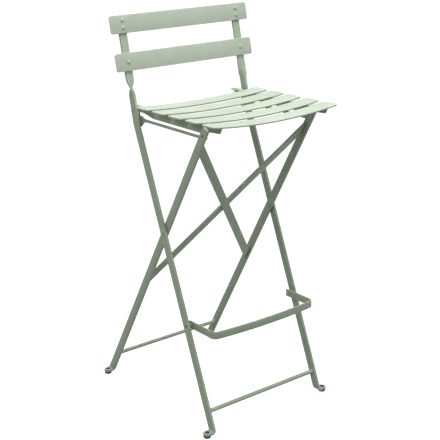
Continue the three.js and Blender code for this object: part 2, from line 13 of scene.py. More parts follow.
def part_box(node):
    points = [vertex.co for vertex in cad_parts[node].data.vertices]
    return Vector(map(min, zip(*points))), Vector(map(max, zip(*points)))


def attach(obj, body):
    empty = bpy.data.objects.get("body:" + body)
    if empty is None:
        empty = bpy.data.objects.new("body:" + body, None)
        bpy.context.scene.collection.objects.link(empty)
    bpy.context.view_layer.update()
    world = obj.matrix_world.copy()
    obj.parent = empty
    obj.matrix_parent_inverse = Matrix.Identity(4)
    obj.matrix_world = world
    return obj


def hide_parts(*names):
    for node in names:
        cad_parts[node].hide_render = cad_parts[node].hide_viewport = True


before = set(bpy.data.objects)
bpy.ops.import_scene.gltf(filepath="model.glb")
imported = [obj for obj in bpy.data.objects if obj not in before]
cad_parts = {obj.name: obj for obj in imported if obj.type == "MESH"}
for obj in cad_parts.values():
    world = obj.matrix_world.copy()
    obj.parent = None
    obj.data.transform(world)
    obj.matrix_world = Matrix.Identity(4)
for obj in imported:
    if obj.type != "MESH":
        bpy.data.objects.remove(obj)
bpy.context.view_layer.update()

# %% [markdown]
# ## Sizes in metres
# The stool is two crossed frames of the same flat bar, 20 mm wide and 6 mm thick. The heights and
# leans below are those of the measured model, so the pieces stand where its solids are. The braces,
# stretchers, seat slats, rail ends and footrest arms were measured once more afterwards, and there a
# piece differs from its solid by a few millimetres.

# %% Sizes of the two frames
MM = 0.001
BAR_WIDTH = 20 * MM
BAR_THICK = 6 * MM
LONG_LEAN = radians(22.1)
SHORT_LEAN = radians(29.0)
BACK_LEAN = radians(13.1)
LONG_X = 170.8 * MM
SHORT_X = 163.3 * MM
FEET_APART = 440 * MM
CROSS_HEIGHT = FEET_APART / (tan(LONG_LEAN) + tan(SHORT_LEAN))
BEND_HEIGHT = 701 * MM
HINGE_HEIGHT = 731 * MM
PIN_HEIGHT = 715.5 * MM
GAP = 0.3 * MM
GLIDE_HEIGHT = 6 * MM
TAB_HEIGHT = GLIDE_HEIGHT + GAP + BAR_THICK / 2

pivot_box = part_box("cross_washer_left")
CROSS_Y = (pivot_box[0][1] + pivot_box[1][1]) / 2
print("side pivots at y", round(CROSS_Y, 5), "z", round(CROSS_HEIGHT, 5))


def long_y(z):
    """Where the middle of a long bar is at height z."""
    return CROSS_Y + (z - CROSS_HEIGHT) * tan(LONG_LEAN)


def short_y(z):
    """Where the middle of a short leg is at height z."""
    return CROSS_Y + (CROSS_HEIGHT - z) * tan(SHORT_LEAN)


SHORT_UP = Vector((0, -sin(SHORT_LEAN), cos(SHORT_LEAN)))
SHORT_BACK = Vector((0, cos(SHORT_LEAN), sin(SHORT_LEAN)))
BACK_UP = Vector((0, sin(BACK_LEAN), cos(BACK_LEAN)))
BACK_FRONT = Vector((0, -cos(BACK_LEAN), sin(BACK_LEAN)))
BEND = Vector((0, long_y(BEND_HEIGHT), BEND_HEIGHT))

# %% [markdown]
# ## Finishes
# The whole stool is powder coated: dry paint is sprayed on by static charge and baked, so it flows
# into a tough satin film about a tenth of a millimetre thick. Up close it has orange peel, a soft
# waviness about 2 mm across, and where the film is thicker or thinner the colour shifts a little.
# The glides are moulded polypropylene with the fine grain of a spark-eroded mould.
# A pattern's scale counts its waves to the metre, so 1000 over the scale is a wave's length in
# millimetres.

# %% Colour and node helpers
def linear(hex_colour):
    parts = [int(hex_colour[i:i + 2], 16) / 255 for i in (1, 3, 5)]
    return [c / 12.92 if c <= 0.04045 else ((c + 0.055) / 1.055) ** 2.4 for c in parts] + [1.0]


def add_node(tree, kind, settings=None, inputs=None, links=None):
    node = tree.nodes.new(kind)
    for key, value in (settings or {}).items():
        setattr(node, key, value)
    for key, value in (inputs or {}).items():
        node.inputs[key].default_value = value
    for key, socket in (links or {}).items():
        tree.links.new(socket, node.inputs[key])
    return node


def empty_tree(owner):
    """The node tree of a material or world, with nothing in it."""
    owner.use_nodes = True
    owner.node_tree.nodes.clear()
    return owner.node_tree


# %% Sage green powder coat
DRIFT = {"Scale": 16.0, "Detail": 3.0, "Roughness": 0.5}
FLECK = {"Scale": 1400.0, "Detail": 2.0, "Roughness": 0.6}
PEEL = {"Scale": 420.0, "Detail": 1.0, "Roughness": 0.4}
GRIT = {"Scale": 2600.0, "Detail": 1.0, "Roughness": 0.5}
PEEL_DEPTH = 0.12 * MM


def powder_coat(name, base_hex, thin_hex, roughness):
    material = bpy.data.materials.new(name)
    tree = empty_tree(material)
    coords = {"Vector": add_node(tree, "ShaderNodeTexCoord").outputs["Object"]}
    # Film colour drifts over some 60 mm, as dry paint never settles quite evenly.
    drift = add_node(tree, "ShaderNodeTexNoise", None, DRIFT, coords).outputs["Fac"]
    # Pigment flecks 0.7 mm across, drawn faint.
    fleck = add_node(tree, "ShaderNodeTexNoise", None, FLECK, coords).outputs["Fac"]
    both = add_node(tree, "ShaderNodeMix", {"data_type": "FLOAT"}, {0: 0.35}, {2: drift, 3: fleck})
    colour = add_node(tree, "ShaderNodeValToRGB", None, None, {"Fac": both.outputs[0]})
    thin_end, full_end = colour.color_ramp.elements
    thin_end.position = 0.38
    thin_end.color = linear(thin_hex)
    full_end.position = 0.6
    full_end.color = linear(base_hex)
    # Orange peel: waves of 2.4 mm with a grit of 0.4 mm, a few hundredths of a millimetre high.
    peel = add_node(tree, "ShaderNodeTexNoise", None, PEEL, coords).outputs["Fac"]
    grit = add_node(tree, "ShaderNodeTexNoise", None, GRIT, coords).outputs["Fac"]
    height = add_node(tree, "ShaderNodeMix", {"data_type": "FLOAT"}, {0: 0.25}, {2: peel, 3: grit})
    bump = add_node(
        tree, "ShaderNodeBump", None,
        {"Strength": 0.35, "Distance": PEEL_DEPTH},
        {"Height": height.outputs[0]},
    )
    # Where the film is thinner it is also a little smoother.
    rough = add_node(
        tree, "ShaderNodeMapRange", None,
        {"To Min": roughness - 0.05, "To Max": roughness + 0.07},
        {"Value": drift},
    )
    shader = add_node(
        tree, "ShaderNodeBsdfPrincipled", None,
        {"Metallic": 0.0, "IOR": 1.5, "Coat Weight": 0.0},
        {
            "Base Color": colour.outputs["Color"],
            "Roughness": rough.outputs["Result"],
            "Normal": bump.outputs["Normal"],
        },
    )
    add_node(tree, "ShaderNodeOutputMaterial", None, None, {"Surface": shader.outputs["BSDF"]})
    return material


# On the stool the frame and the slats have one paint. Here the slats and the backrest rivets get a copy
# painted lighter than the frame's: painted light from above.
FRAME_PAINT = powder_coat("sage_powder_coat_frame", "#97a68f", "#90a089", 0.5)
SLAT_PAINT_PAINTED_LIGHT = powder_coat("sage_powder_coat_slats", "#a4af9e", "#9da898", 0.5)
print("paints:", FRAME_PAINT.name, SLAT_PAINT_PAINTED_LIGHT.name)

# %% Black polypropylene of the glides
CLOUD = {"Scale": 90.0, "Detail": 2.0}
GRAIN = {"Scale": 3200.0}
GRAIN_DEPTH = 0.08 * MM


def moulded_plastic(name, base_hex, light_hex):
    material = bpy.data.materials.new(name)
    tree = empty_tree(material)
    coords = {"Vector": add_node(tree, "ShaderNodeTexCoord").outputs["Object"]}
    # Soft clouds of 11 mm between two near blacks.
    cloud = add_node(tree, "ShaderNodeTexNoise", None, CLOUD, coords)
    colour = add_node(
        tree, "ShaderNodeMix", {"data_type": "RGBA"},
        {6: linear(base_hex), 7: linear(light_hex)},
        {0: cloud.outputs["Fac"]},
    )
    # Mould grain about 0.3 mm across.
    grain = add_node(tree, "ShaderNodeTexVoronoi", None, GRAIN, coords)
    bump = add_node(
        tree, "ShaderNodeBump", None,
        {"Strength": 0.3, "Distance": GRAIN_DEPTH},
        {"Height": grain.outputs["Distance"]},
    )
    shader = add_node(
        tree, "ShaderNodeBsdfPrincipled", None,
        {"Roughness": 0.62, "IOR": 1.49},
        {"Base Color": colour.outputs[2], "Normal": bump.outputs["Normal"]},
    )
    add_node(tree, "ShaderNodeOutputMaterial", None, None, {"Surface": shader.outputs["BSDF"]})
    return material


GLIDE_PLASTIC = moulded_plastic("black_polypropylene_moulded", "#1b1c1a", "#262725")

# %% [markdown]
# ## Working as by hand
# Most pieces are flat bar, so one small set of moves makes nearly all of them: lay down the end
# face, pull it along, and turn it a little before the next pull, as a bar is bent in a vice. Edit
# mode keeps only the newest end face selected, so each move acts on the end being worked.

# %% Moves for a bar's end face
def smooth(share):
    """A slow start and a slow end, fastest in the middle, from 0 to 1."""
    return share * share * (3 - 2 * share)


# Places closer than TOUCH count as one in the tests below, and corners closer than MERGE are joined.
TOUCH = 0.1 * MM
MERGE = 0.01 * MM
# Two directions count as parallel when the cosine between them is above this.
PARALLEL = 0.9
# The edges of a bar's tip lie within this reach of its middle.
TIP_REACH = BAR_WIDTH * 0.56
# Two full bevels would meet in the middle of the tip and leave faces without area.
BEVEL_SHARE = 0.98


def select_only(piece):
    bpy.ops.object.select_all(action="DESELECT")
    piece.select_set(True)
    bpy.context.view_layer.objects.active = piece


def start_face(name, centre, width, thick, level=False):
    """An end face: width along Y, thickness along X, or along Z if level."""
    bpy.ops.object.select_all(action="DESELECT")
    tilt = (0, pi / 2, 0) if level else (0, 0, 0)
    bpy.ops.mesh.primitive_plane_add(size=1, location=(0, 0, 0), rotation=tilt)
    piece = bpy.context.object
    piece.name = name
    piece.scale = (thick, width, 1)
    bpy.ops.object.transform_apply(location=False, rotation=True, scale=True)
    piece.location = centre
    bpy.ops.object.transform_apply(location=True, rotation=False, scale=False)
    bpy.ops.object.mode_set(mode="EDIT")
    bpy.ops.mesh.select_mode(type="FACE")
    bpy.ops.mesh.select_all(action="SELECT")
    return piece


def pull(move):
    bpy.ops.mesh.extrude_region_move(TRANSFORM_OT_translate={"value": move, "orient_type": "GLOBAL"})


def turn(angle, axis, centre):
    bpy.ops.transform.rotate(value=-angle, orient_axis=axis, orient_type="GLOBAL", center_override=centre)


def stretch(x, y, centre):
    bpy.ops.transform.resize(value=(x, y, 1), center_override=centre)


def close_bar(piece):
    """Turns every face outwards and leaves edit mode."""
    bpy.ops.mesh.select_all(action="SELECT")
    bpy.ops.mesh.remove_doubles(threshold=MERGE)
    bpy.ops.mesh.normals_make_consistent(inside=False)
    bpy.ops.object.mode_set(mode="OBJECT")
    return piece


def choose(piece, kind, test):
    """In edit mode, selects only the faces or edges whose middle passes the test."""
    bpy.ops.mesh.select_mode(type=kind)
    bpy.ops.mesh.select_all(action="DESELECT")
    bpy.ops.object.mode_set(mode="OBJECT")
    mesh = piece.data
    count = 0
    for part in (mesh.polygons if kind == "FACE" else mesh.edges):
        corners = [mesh.vertices[i].co for i in part.vertices]
        middle = sum(corners, Vector()) / len(corners)
        direction = part.normal if kind == "FACE" else (corners[1] - corners[0]).normalized()
        part.select = bool(test(middle, direction))
        count += part.select
    bpy.ops.object.mode_set(mode="EDIT")
    return count


def round_tip(piece, near, across, radius, steps=8):
    """Rounds a bar's end by bevelling the two edges that run through its thickness there."""
    choose(piece, "EDGE", lambda m, d: abs(d.dot(across)) > PARALLEL and (m - near).length < TIP_REACH)
    bpy.ops.mesh.bevel(offset=radius * BEVEL_SHARE, segments=steps, affect="EDGES")
    bpy.ops.mesh.select_all(action="DESELECT")


# %% Finishing a piece
BAR_EDGE = 0.6 * MM
# Corners sharper than the first angle are rounded, and faces closer than the second are shaded as one.
ROUNDED_ANGLE = radians(35)
SMOOTH_ANGLE = radians(30)


def finish_piece(piece, body, nodes, material, soften=BAR_EDGE, segments=3):
    """Rounds its edges, shades it smooth and puts it in its nodes' place on their body."""
    select_only(piece)
    if soften:
        bevel = piece.modifiers.new("edge", "BEVEL")
        bevel.width = soften
        bevel.segments = segments
        bevel.limit_method = "ANGLE"
        bevel.angle_limit = ROUNDED_ANGLE
        bpy.ops.object.modifier_apply(modifier=bevel.name)
    bpy.ops.object.shade_smooth_by_angle(angle=SMOOTH_ANGLE)
    piece.data.materials.clear()
    piece.data.materials.append(material)
    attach(piece, body)
    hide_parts(*nodes)
    print(piece.name, len(piece.data.polygons), "faces")
    return piece


def mirrored(piece, name):
    """A copy with its own mesh on the other side of the stool."""
    select_only(piece)
    bpy.ops.object.duplicate(linked=False)
    copy = bpy.context.object
    copy.name = name
    bpy.ops.object.mode_set(mode="EDIT")
    bpy.ops.mesh.select_all(action="SELECT")
    bpy.ops.transform.mirror(
        constraint_axis=(True, False, False), orient_type="GLOBAL", center_override=(0, 0, 0))
    bpy.ops.mesh.normals_make_consistent(inside=False)
    bpy.ops.object.mode_set(mode="OBJECT")
    return copy


def finish_pair(piece, body, node, other_node, soften=BAR_EDGE, segments=3):
    """Finishes a piece in the frame's paint, and its mirror image with the same rounded edges."""
    finish_piece(piece, body, [node], FRAME_PAINT, soften, segments)
    twin = mirrored(piece, other_node + "_steel")
    finish_piece(twin, body, [other_node], FRAME_PAINT, soften=0)


def place(piece, matrix):
    """Moves a finished shape into the stool and leaves its object at the origin."""
    select_only(piece)
    piece.matrix_world = matrix
    bpy.ops.object.transform_apply(location=True, rotation=True, scale=True)
    return piece


# %% [markdown]
# ## The foot tabs
# Each frame bar ends in a foot: the bar is bent outwards until it lies level, and its tip is
# rounded. The bend is made in eight short pulls, each followed by a small turn, which is how a
# press brake leaves it. Before the bend the end face is laid level, which makes it longer than the
# bar is wide, and along the bend it goes back to the bar's own width.

# %% Bending a foot
FOOT_RADIUS = 7 * MM
FRONT_REACH = 24 * MM
REAR_REACH = 20 * MM
BEND_STEPS = 8
# Each step also loses a quarter of a percent, which keeps the tab inside the measured box.
TAB_TRIM = 0.9975


def foot_point(x, line_y, share):
    """The middle of the bar in the bend, from its start (0) to its end (1)."""
    t = (1 - share) * pi / 2
    rise = FOOT_RADIUS * (1 - cos(t))
    return Vector((x - FOOT_RADIUS * (1 - sin(t)), line_y(TAB_HEIGHT + rise), TAB_HEIGHT + rise))


def level_width(lean, share):
    """How many bar widths the end face spans in the bend, from its start (0) to its end (1)."""
    return 1 + (1 / cos(lean) - 1) * (1 - share)


def bend_foot(piece, x, line_y, lean, reach):
    """Bends the selected, level end face of a left bar outwards and rounds the tab's tip."""
    here = foot_point(x, line_y, 0)
    for i in range(1, BEND_STEPS + 1):
        there = foot_point(x, line_y, i / BEND_STEPS)
        pull(there - here)
        turn(pi / 2 / BEND_STEPS, "Y", there)
        narrow = level_width(lean, i / BEND_STEPS) / level_width(lean, (i - 1) / BEND_STEPS)
        stretch(1, narrow * TAB_TRIM, there)
        here = there
    tip = Vector((x - BAR_THICK / 2 - reach, here.y, here.z))
    pull(tip - here)
    round_tip(piece, tip, Vector((0, 0, 1)), BAR_WIDTH / 2)


# %% [markdown]
# ## The long bars
# One bar runs from each front foot to the top of the backrest. Above the seat it bends nine degrees
# towards the upright and takes a quarter twist. A smith grips the hot bar at both ends of the twist
# and turns one grip, so here the end face is pulled down in short steps and turned a little at each,
# fastest in the middle. The upper part is made upright first, because turning about a plain axis is
# simple, and then leant back in one go.

# %% Modelling the left long bar
BACK_LENGTH = 249 * MM
TWIST_MIDDLE = 87 * MM
TWIST_LENGTH = 46 * MM
TWIST_STEPS = 20
BEND_RADIUS = 70 * MM

side_x = -LONG_X
half_bend = BEND_RADIUS * (LONG_LEAN - BACK_LEAN) / 2
top = Vector((0, 0, BACK_LENGTH))
height = TWIST_MIDDLE + TWIST_LENGTH / 2
long_bar = start_face("long_bar_left_steel", top, BAR_THICK, BAR_WIDTH)
pull((0, 0, height - BACK_LENGTH))
turned_so_far = 0
for i in range(1, TWIST_STEPS + 1):
    angle = pi / 2 * smooth(i / TWIST_STEPS)
    height -= TWIST_LENGTH / TWIST_STEPS
    pull((0, 0, -TWIST_LENGTH / TWIST_STEPS))
    turn(angle - turned_so_far, "Z", (0, 0, height))
    turned_so_far = angle
pull((0, 0, half_bend - height))
round_tip(long_bar, top, Vector((0, 1, 0)), BAR_WIDTH / 2)
close_bar(long_bar)
bend_middle = BEND + Vector((side_x, 0, 0))
place(long_bar, Matrix.Translation(bend_middle) @ Matrix.Rotation(-BACK_LEAN, 4, "X"))

bpy.ops.object.mode_set(mode="EDIT")
here = bend_middle + BACK_UP * half_bend
found = choose(long_bar, "FACE", lambda m, d: (m - here).length < TOUCH and abs(d.dot(BACK_UP)) > PARALLEL)
print("end faces at the bend:", found)
for i in range(1, BEND_STEPS + 1):
    lean = BACK_LEAN + (LONG_LEAN - BACK_LEAN) * (i - 0.5) / BEND_STEPS
    step = Vector((0, -sin(lean), -cos(lean))) * (2 * half_bend / BEND_STEPS)
    pull(step)
    here = here + step
    turn(-(LONG_LEAN - BACK_LEAN) / BEND_STEPS, "X", here)
foot_start = foot_point(side_x, long_y, 0)
pull(foot_start - here)
turn(LONG_LEAN, "X", foot_start)
stretch(1, 1 / cos(LONG_LEAN), foot_start)
bend_foot(long_bar, side_x, long_y, LONG_LEAN, FRONT_REACH)
close_bar(long_bar)
print("long bar:", [round(c, 4) for c in long_bar.dimensions])
finish_pair(long_bar, "long_frame", "long_bar_left", "long_bar_right")

# %% [markdown]
# ## The short legs
# The rear legs are the same bar without a bend or twist: a cut top just past the pin that slides
# under the seat, then straight down to the foot. It is pulled straight down the lean.

# %% Modelling the left short leg
LEG_REACH = 20 * MM
LEG_CORNER = 1.5 * MM

side_x = -SHORT_X
pin_point = Vector((side_x, short_y(PIN_HEIGHT), PIN_HEIGHT))
leg_top = pin_point + SHORT_UP * LEG_REACH
short_leg = start_face("short_leg_left_steel", leg_top, BAR_WIDTH, BAR_THICK)
turn(SHORT_LEAN, "X", leg_top)
foot_start = foot_point(side_x, short_y, 0)
pull(foot_start - leg_top)
turn(-SHORT_LEAN, "X", foot_start)
stretch(1, 1 / cos(SHORT_LEAN), foot_start)
bend_foot(short_leg, side_x, short_y, SHORT_LEAN, REAR_REACH)
round_tip(short_leg, leg_top, Vector((1, 0, 0)), LEG_CORNER, 5)
close_bar(short_leg)
print("short leg:", [round(c, 4) for c in short_leg.dimensions])
finish_pair(short_leg, "short_frame", "short_leg_left", "short_leg_right")

# %% [markdown]
# ## Slats
# The slats are flat strip with rounded corners, 3 mm thick on the backrest and 3.5 mm on the seat.
# The seat slats dip in the middle, the front ones deeper than the rear ones. A roller bends the
# real ones, and here the strip's end face is pulled along in many short steps and turned a little
# at each. The four edges through the thickness at the corners are then bevelled round.

# %% Backrest slats
SLAT_THICK = 3 * MM
BACK_SLAT_LENGTH = 411.8 * MM
BACK_SLAT_HEIGHT = 42.3 * MM
BACK_SLAT_WIDTH = BACK_SLAT_HEIGHT - 0.2 * MM
BACK_SLAT_CORNER = 6 * MM
BACK_SLATS = {"top": 210.2 * MM, "lower": 122.8 * MM}
PROUD = BAR_THICK / 2 + GAP + SLAT_THICK / 2
SLAT_EDGE = 0.7 * MM


def round_corners(piece, half_length, half_width, radius):
    """Rounds a strip's four corners; the strip lies along X with its width along Y."""
    found = choose(piece, "EDGE", lambda m, d: (
        abs(abs(m.x) - half_length) < 2 * MM
        and abs(abs(m.y) - half_width) < TOUCH
        and abs(d.z) > PARALLEL))
    bpy.ops.mesh.bevel(offset=radius, segments=8, affect="EDGES")
    print("corners rounded:", found)


for word, start in BACK_SLATS.items():
    half = BACK_SLAT_LENGTH / 2
    name = "back_slat_" + word
    back_slat = start_face(name + "_steel", (-half, 0, 0), BACK_SLAT_WIDTH, SLAT_THICK, level=True)
    pull((BACK_SLAT_LENGTH, 0, 0))
    round_corners(back_slat, half, BACK_SLAT_WIDTH / 2, BACK_SLAT_CORNER)
    close_bar(back_slat)
    middle = BEND + BACK_UP * (start + BACK_SLAT_HEIGHT / 2) + BACK_FRONT * PROUD
    place(back_slat, Matrix.Translation(middle) @ Matrix.Rotation(pi / 2 - BACK_LEAN, 4, "X"))
    finish_piece(back_slat, "long_frame", [name], SLAT_PAINT_PAINTED_LIGHT, SLAT_EDGE)

# %% Seat slats
SEAT_LENGTH = 372.6 * MM
SEAT_SLAT_WIDTH = 46.2 * MM
SEAT_SLAT_THICK = 3.5 * MM
SEAT_SLAT_CORNER = 9 * MM
SEAT_SLATS = 5
SEAT_TILT = 0.016
SEAT_STEPS = 40
REAR_DIP = 7.5 * MM
MORE_DIP = 0.9 * MM


def rolled_slat(name, y, top, dip):
    """A slat that follows an arc and rises to the front; its highest corner is at height top."""
    radius = ((SEAT_LENGTH / 2) ** 2 + dip ** 2) / (2 * dip)
    angle = 2 * atan(SEAT_LENGTH / 2 / (radius - dip))

    def arc(share):
        a = angle * (share - 0.5)
        return Vector((radius * sin(a), 0, radius * (1 - cos(a))))

    piece = start_face(name, arc(0), SEAT_SLAT_WIDTH, SEAT_SLAT_THICK, level=True)
    turn(angle / 2, "Y", arc(0))
    for i in range(1, SEAT_STEPS + 1):
        pull(arc(i / SEAT_STEPS) - arc((i - 1) / SEAT_STEPS))
        turn(-angle / SEAT_STEPS, "Y", arc(i / SEAT_STEPS))
    round_corners(piece, SEAT_LENGTH / 2, SEAT_SLAT_WIDTH / 2, SEAT_SLAT_CORNER)
    close_bar(piece)
    place(piece, Matrix.Rotation(-SEAT_TILT, 4, "X"))
    rise = top - max(v.co.z for v in piece.data.vertices)
    return place(piece, Matrix.Translation((0, y, rise)))


for number in range(1, SEAT_SLATS + 1):
    name = "seat_slat_%d" % number
    low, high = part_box(name)
    dip = REAR_DIP + MORE_DIP * (number - 1)
    seat_slat = rolled_slat(name + "_steel", (low[1] + high[1]) / 2, high[2], dip)
    finish_piece(seat_slat, "seat", [name], SLAT_PAINT_PAINTED_LIGHT, SLAT_EDGE)

# %% [markdown]
# ## Side rails and guide bars
# Each rail is an angle rolled from sheet: an upright web, and a flange turned inwards to carry the
# slats. Such a plate is easiest drawn as a dressmaker would, by walking a point round its outline,
# filling it and giving it thickness. The guide bar below the rail is a second plate of the same
# kind. It leaves a long slot for the pins, and a weld joins it to the rail at each end. Near the
# hinge both plates step up in a slow S.

# %% Plates drawn from the side
RAIL_X = 159.9 * MM
RAIL_THICK = 2.5 * MM
RAIL_BOTTOM = 718.9 * MM
RAIL_EDGE = 0.5 * MM
SLOT_DEPTH = 6.2 * MM
GUIDE_DEPTH = 7 * MM

hinge_y = long_y(HINGE_HEIGHT)


def side_plate(name, outline):
    """Walks a point round an outline of (y, z), fills it and thickens it inwards along X."""
    bpy.ops.object.select_all(action="DESELECT")
    bpy.ops.mesh.primitive_plane_add(size=MM, location=(0, 0, 0))
    piece = bpy.context.object
    piece.name = name
    bpy.ops.object.mode_set(mode="EDIT")
    bpy.ops.mesh.select_mode(type="VERT")
    bpy.ops.mesh.select_all(action="SELECT")
    bpy.ops.mesh.merge(type="CENTER")
    bpy.ops.mesh.select_all(action="SELECT")
    bpy.ops.transform.translate(value=(RAIL_X, outline[0][0], outline[0][1]))
    for before, after in zip(outline, outline[1:]):
        step = (0, after[0] - before[0], after[1] - before[1])
        bpy.ops.mesh.extrude_vertices_move(TRANSFORM_OT_translate={"value": step})
    bpy.ops.mesh.select_all(action="SELECT")
    bpy.ops.mesh.edge_face_add()
    bpy.ops.mesh.select_mode(type="FACE")
    bpy.ops.mesh.select_all(action="SELECT")
    pull((-RAIL_THICK, 0, 0))
    return piece


# %% Side rail
S_START = hinge_y - 69 * MM
S_END = hinge_y - 21 * MM
S_RISE = 7.5 * MM
S_STEP = 4 * MM
S_STEPS = 12
FLANGE_WIDTH = 11 * MM
FLANGE_SINK = 0.9 * MM


def slow_rise(y):
    """How far the rail's lower edge has risen at y in the slow S."""
    return S_RISE * smooth(min(max((y - S_START) / (S_END - S_START), 0), 1))


rail_low, rail_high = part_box("side_rail_right")
slot_front = short_y(PIN_HEIGHT) - 7.2 * MM
rear, front = rail_high[1], rail_low[1]
rear_top = rail_high[2] - (rear - front) * SEAT_TILT
outline = [(rear, RAIL_BOTTOM + S_RISE)]
outline += [(y, RAIL_BOTTOM + slow_rise(y)) for y in (S_END - S_STEP * i for i in range(S_STEPS + 1))]
# In front of the slot the lower edge steps up, and the front end leans.
outline += [
    (slot_front, RAIL_BOTTOM),
    (slot_front - 2 * MM, RAIL_BOTTOM + 0.6 * MM),
    (slot_front - 6 * MM, RAIL_BOTTOM + 6.4 * MM),
    (slot_front - 8 * MM, RAIL_BOTTOM + 7 * MM),
    (front + 12 * MM, RAIL_BOTTOM + 10 * MM),
    (front + 10.5 * MM, RAIL_BOTTOM + 10.6 * MM),
    (front + 10 * MM, RAIL_BOTTOM + 12 * MM),
    (front + 3.5 * MM, rail_high[2]),
    (rear, rear_top),
]
rail = side_plate("side_rail_right_steel", outline)
# A cut just under the top edge gives the strip that is pulled inwards as the flange.
bpy.ops.mesh.select_all(action="SELECT")
across_web = Vector((0, SEAT_TILT, 1)).normalized()
flange_under = Vector((0, rear, rear_top - RAIL_THICK))
bpy.ops.mesh.bisect(plane_co=flange_under, plane_no=across_web)
inner_x = RAIL_X - RAIL_THICK
strip = choose(rail, "FACE", lambda m, d: (
    abs(d.x) > PARALLEL and abs(m.x - inner_x) < TOUCH and (m - flange_under).dot(across_web) > 0))
print("flange strips:", strip)
pull((-FLANGE_WIDTH, 0, -FLANGE_SINK))
close_bar(rail)
finish_pair(rail, "seat", "side_rail_right", "side_rail_left", RAIL_EDGE, 2)

# %% Guide bar
GUIDE_RISE = 5 * MM

guide_low, guide_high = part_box("guide_bar_right")
rear, front = guide_high[1], guide_low[1]
slot_bottom = RAIL_BOTTOM - SLOT_DEPTH
guide_bottom = slot_bottom - GUIDE_DEPTH
under_rail = RAIL_BOTTOM - GAP
lug_bottom = guide_low[2]
lug_front = rear - 20 * MM
# Up the rear end, forwards along the slot, round the front end, back along the underside, and
# down into the lug.
outline = [
    (rear, lug_bottom),
    (rear, under_rail + S_RISE),
    (rear - 4 * MM, under_rail + S_RISE),
    (rear - 4 * MM, slot_bottom + GUIDE_RISE + 0.8 * MM),
    (rear - 5 * MM, slot_bottom + GUIDE_RISE),
    (hinge_y - 17 * MM, slot_bottom + GUIDE_RISE),
    (hinge_y - 21 * MM, slot_bottom + 0.8 * GUIDE_RISE),
    (hinge_y - 27 * MM, slot_bottom + 0.2 * GUIDE_RISE),
    (hinge_y - 30 * MM, slot_bottom),
    (front + 5 * MM, slot_bottom),
    (front + 4 * MM, slot_bottom + 1 * MM),
    (front + 4 * MM, under_rail),
    (front, under_rail),
    (front, guide_bottom + 3.5 * MM),
    (front + 3.5 * MM, guide_bottom),
    (lug_front - 13 * MM, guide_bottom),
    (lug_front - 6 * MM, guide_bottom - 0.8 * MM),
    (lug_front, guide_bottom - 3.25 * MM),
    (rear - 10 * MM, lug_bottom),
]
guide = close_bar(side_plate("guide_bar_right_steel", outline))
finish_pair(guide, "seat", "guide_bar_right", "guide_bar_left", RAIL_EDGE, 2)

# %% [markdown]
# ## The footrest
# The sitter's feet rest on a U of thinner bar, 18 mm high and 4 mm thick, set on edge so that it is
# stiff under a heel. Its arms run back inside the front legs and end just behind them, held off by
# short stand-offs that leave room for the rear legs to fold past. The front is bowed forwards.

# %% Modelling the footrest
REST_HEIGHT = 246 * MM
REST_WIDTH = 18 * MM
REST_THICK = 4 * MM
REST_X = 156 * MM
REST_REACH = 86.6 * MM
REST_BEND = 12 * MM
REST_BOW = 8 * MM
REST_STEPS = 12
REST_CORNER = 2 * MM

rest_seat = long_y(REST_HEIGHT)
rest_front = rest_seat - REST_REACH
rest_tip = rest_seat + BAR_WIDTH / 2 / cos(LONG_LEAN) - 2 * MM
path = [Vector((-REST_X, rest_tip, REST_HEIGHT))]
headings = [-pi / 2]
for i in range(REST_STEPS + 1):
    a = pi / 2 * i / REST_STEPS
    x = -REST_X + REST_BEND * (1 - cos(a))
    path.append(Vector((x, rest_front + REST_BEND * (1 - sin(a)), REST_HEIGHT)))
    headings.append(a - pi / 2)
arm_points = len(path)
bow_from = REST_X - REST_BEND
for i in range(1, 2 * REST_STEPS):
    x = bow_from * (i / REST_STEPS - 1)
    path.append(Vector((x, rest_front - REST_BOW * (1 - (x / bow_from) ** 2), REST_HEIGHT)))
    headings.append(0)
path += [Vector((-p.x, p.y, p.z)) for p in reversed(path[:arm_points])]
headings += [-h for h in reversed(headings[:arm_points])]
print("footrest path points:", len(path))

footrest = start_face("footrest_steel", (0, 0, 0), REST_THICK, REST_WIDTH)
turn(pi / 2, "Y", (0, 0, 0))
bpy.ops.transform.translate(value=path[0])
turn(headings[0], "Z", path[0])
for i in range(1, len(path)):
    pull(path[i] - path[i - 1])
    turn(headings[i] - headings[i - 1], "Z", path[i])
for tip in (path[0], path[-1]):
    round_tip(footrest, tip, Vector((1, 0, 0)), REST_CORNER)
close_bar(footrest)
finish_piece(footrest, "long_frame", ["footrest"], FRAME_PAINT)

# %% [markdown]
# ## The X brace
# Two flat bars cross between the short legs, back to back, and stop them from racking sideways.
# They lie in the plane of the legs, so each is pulled straight from one end face to the other.
# The upper ends stop a little short of the legs, which lets the rails pass as the stool folds.

# %% Modelling the braces
BRACE_WIDTH = 20 * MM
BRACE_THICK = 5.5 * MM
# A brace comes down 407 mm along the legs over 300 mm of the stool's width.
BRACE_SLOPE = 407 / 300
BRACE_MARK_X = 150 * MM
BRACE_TOP_X = 157.1 * MM
BRACE_LOW_X = 160 * MM


def brace_point(x, side, layer, mark):
    """The middle of a brace at x; mark is how far below the slot pins it lies at BRACE_MARK_X."""
    down = mark + BRACE_SLOPE * (BRACE_MARK_X - x)
    start = Vector((side * x, short_y(PIN_HEIGHT), PIN_HEIGHT))
    return start - SHORT_UP * down + SHORT_BACK * layer * (BRACE_THICK + GAP) / 2


def brace(name, side, layer, mark):
    high = brace_point(BRACE_TOP_X, side, layer, mark)
    low = brace_point(-BRACE_LOW_X, side, layer, mark)
    piece = start_face(name, high, BRACE_THICK, BRACE_WIDTH * hypot(1, BRACE_SLOPE))
    turn(pi / 2, "Y", high)
    turn(SHORT_LEAN, "X", high)
    pull(low - high)
    return close_bar(piece)


for word, side, layer, mark in (("under", -1, -1, 48.5 * MM), ("over", 1, 1, 51 * MM)):
    node = "cross_brace_" + word
    brace_piece = brace(node + "_steel", side, layer, mark)
    finish_piece(brace_piece, "short_frame", [node], FRAME_PAINT)

